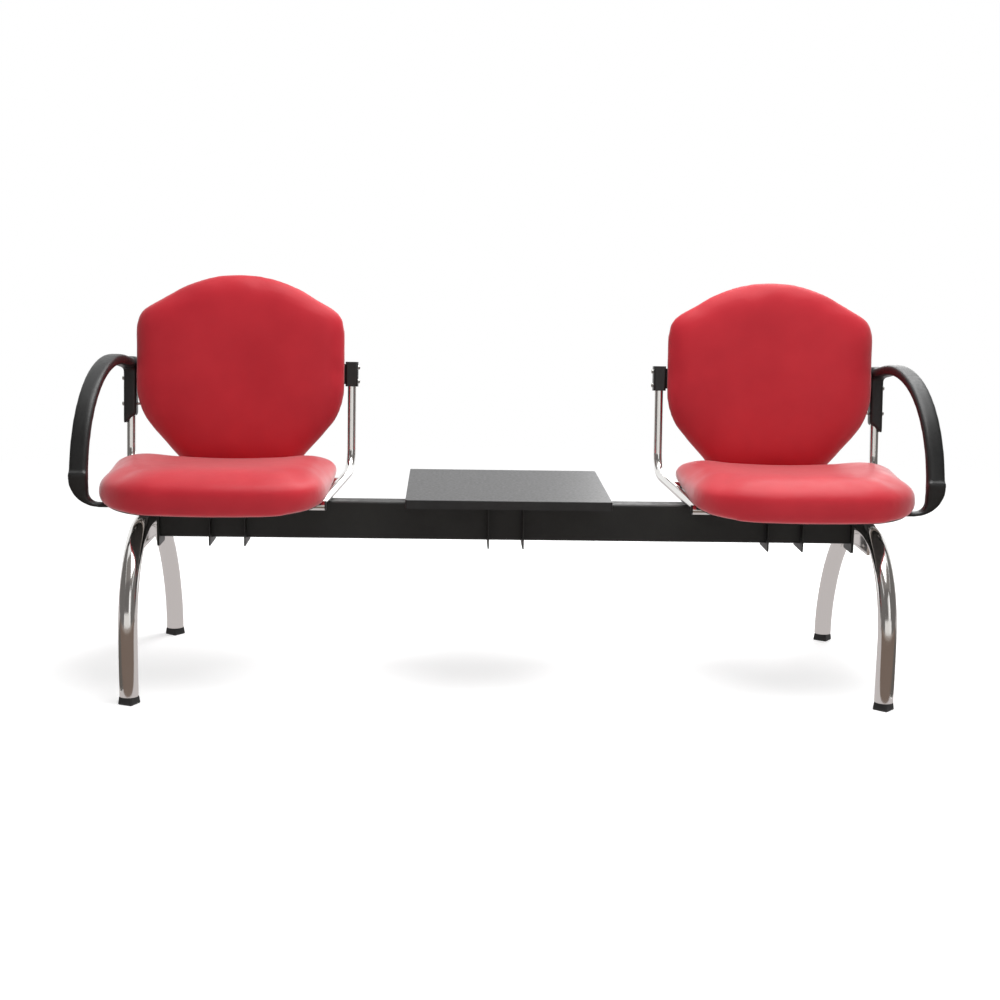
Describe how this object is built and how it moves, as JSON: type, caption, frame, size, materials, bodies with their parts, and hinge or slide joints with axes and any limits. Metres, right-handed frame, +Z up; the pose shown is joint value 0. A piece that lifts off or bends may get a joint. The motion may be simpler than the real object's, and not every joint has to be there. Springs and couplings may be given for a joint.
{
  "type": "waiting bench",
  "caption": "Beam-mounted waiting bench with padded seats and backs either side of a square table, outer arms, arched tube legs and levelling feet.",
  "frame": {"origin": "on the floor, under the middle of the bench", "axes": "+X along the beam to the right as seen from the front, +Y to the rear, +Z up"},
  "size_m": [1.8036, 0.61, 0.8358],
  "materials": {
    "black_steel": "satin black powder coat",
    "table_laminate": "black laminate with a fine texture and a black edge band",
    "zinc_steel": "zinc plated",
    "chrome_leg": "polished chrome",
    "chrome_tube": "polished chrome",
    "black_bolt": "black oxide",
    "black_plastic": "moulded black plastic with a fine grain",
    "seat_board": "black-stained plywood",
    "back_shell": "moulded black plastic cover",
    "red_leatherette": "smooth red leatherette",
    "foot_rubber": "matt black"
  },
  "bodies": {
    "frame": {"arm_left": "black_plastic", "arm_right": "black_plastic", "arm_screws_left": "zinc_steel", "arm_screws_right": "zinc_steel", "back_clip_left": "black_plastic", "back_clip_right": "black_plastic", "back_pad_left": "red_leatherette", "back_pad_right": "red_leatherette", "back_shell_left": "back_shell", "back_shell_right": "back_shell", "beam": "black_steel", "clip_screws_left": "zinc_steel", "clip_screws_right": "zinc_steel", "end_plate_left": "black_steel", "end_plate_right": "black_steel", "foot_insert_front_left": "black_plastic", "foot_insert_front_right": "black_plastic", "foot_insert_rear_left": "black_plastic", "foot_insert_rear_right": "black_plastic", "front_cross_tube_left": "chrome_tube", "front_cross_tube_right": "chrome_tube", "leg_bolts_left": "black_bolt", "leg_bolts_right": "black_bolt", "leg_left": "chrome_leg", "leg_right": "chrome_leg", "leg_web_left": "chrome_leg", "leg_web_right": "chrome_leg", "lock_screws_left": "zinc_steel", "lock_screws_right": "zinc_steel", "lock_screws_table": "zinc_steel", "nut_plate_left": "zinc_steel", "nut_plate_right": "zinc_steel", "rear_cross_tube_left": "chrome_tube", "rear_cross_tube_right": "chrome_tube", "seat_board_left": "seat_board", "seat_board_right": "seat_board", "seat_pad_left": "red_leatherette", "seat_pad_right": "red_leatherette", "seat_saddle_left": "black_steel", "seat_saddle_right": "black_steel", "seat_screws_left": "zinc_steel", "seat_screws_right": "zinc_steel", "side_tube_left_inner": "chrome_tube", "side_tube_left_outer": "chrome_tube", "side_tube_right_inner": "chrome_tube", "side_tube_right_outer": "chrome_tube", "table_saddle": "black_steel", "table_screws": "zinc_steel", "table_top": "table_laminate", "tube_plugs_left": "black_plastic", "tube_plugs_right": "black_plastic"},
    "pad_front_left": {"foot_pad_front_left": "foot_rubber"},
    "stem_front_left": {"foot_stem_front_left": "zinc_steel"},
    "pad_front_right": {"foot_pad_front_right": "foot_rubber"},
    "stem_front_right": {"foot_stem_front_right": "zinc_steel"},
    "pad_rear_left": {"foot_pad_rear_left": "foot_rubber"},
    "stem_rear_left": {"foot_stem_rear_left": "zinc_steel"},
    "pad_rear_right": {"foot_pad_rear_right": "foot_rubber"},
    "stem_rear_right": {"foot_stem_rear_right": "zinc_steel"}
  },
  "joints": [
    {"name": "level_front_left", "type": "slide", "parent": "frame", "child": "pad_front_left", "axis": [0, 0, -1], "range_m": [0, 0.009]},
    {"name": "stem_turn_front_left", "type": "hinge", "parent": "pad_front_left", "child": "stem_front_left", "pos_m": [-0.761, -0.283, 0.02], "axis": [0, 0, -1], "range_deg": [0, 2160]},
    {"name": "level_front_right", "type": "slide", "parent": "frame", "child": "pad_front_right", "axis": [0, 0, -1], "range_m": [0, 0.009]},
    {"name": "stem_turn_front_right", "type": "hinge", "parent": "pad_front_right", "child": "stem_front_right", "pos_m": [0.761, -0.283, 0.02], "axis": [0, 0, -1], "range_deg": [0, 2160]},
    {"name": "level_rear_left", "type": "slide", "parent": "frame", "child": "pad_rear_left", "axis": [0, 0, -1], "range_m": [0, 0.009]},
    {"name": "stem_turn_rear_left", "type": "hinge", "parent": "pad_rear_left", "child": "stem_rear_left", "pos_m": [-0.761, 0.283, 0.02], "axis": [0, 0, -1], "range_deg": [0, 2160]},
    {"name": "level_rear_right", "type": "slide", "parent": "frame", "child": "pad_rear_right", "axis": [0, 0, -1], "range_m": [0, 0.009]},
    {"name": "stem_turn_rear_right", "type": "hinge", "parent": "pad_rear_right", "child": "stem_rear_right", "pos_m": [0.761, 0.283, 0.02], "axis": [0, 0, -1], "range_deg": [0, 2160]}
  ],
  "couplings": [
    {"joint": "stem_turn_front_left", "follows": "level_front_left", "rad_per_m": 4188.8},
    {"joint": "stem_turn_front_right", "follows": "level_front_right", "rad_per_m": 4188.8},
    {"joint": "stem_turn_rear_left", "follows": "level_rear_left", "rad_per_m": 4188.8},
    {"joint": "stem_turn_rear_right", "follows": "level_rear_right", "rad_per_m": 4188.8}
  ]
}
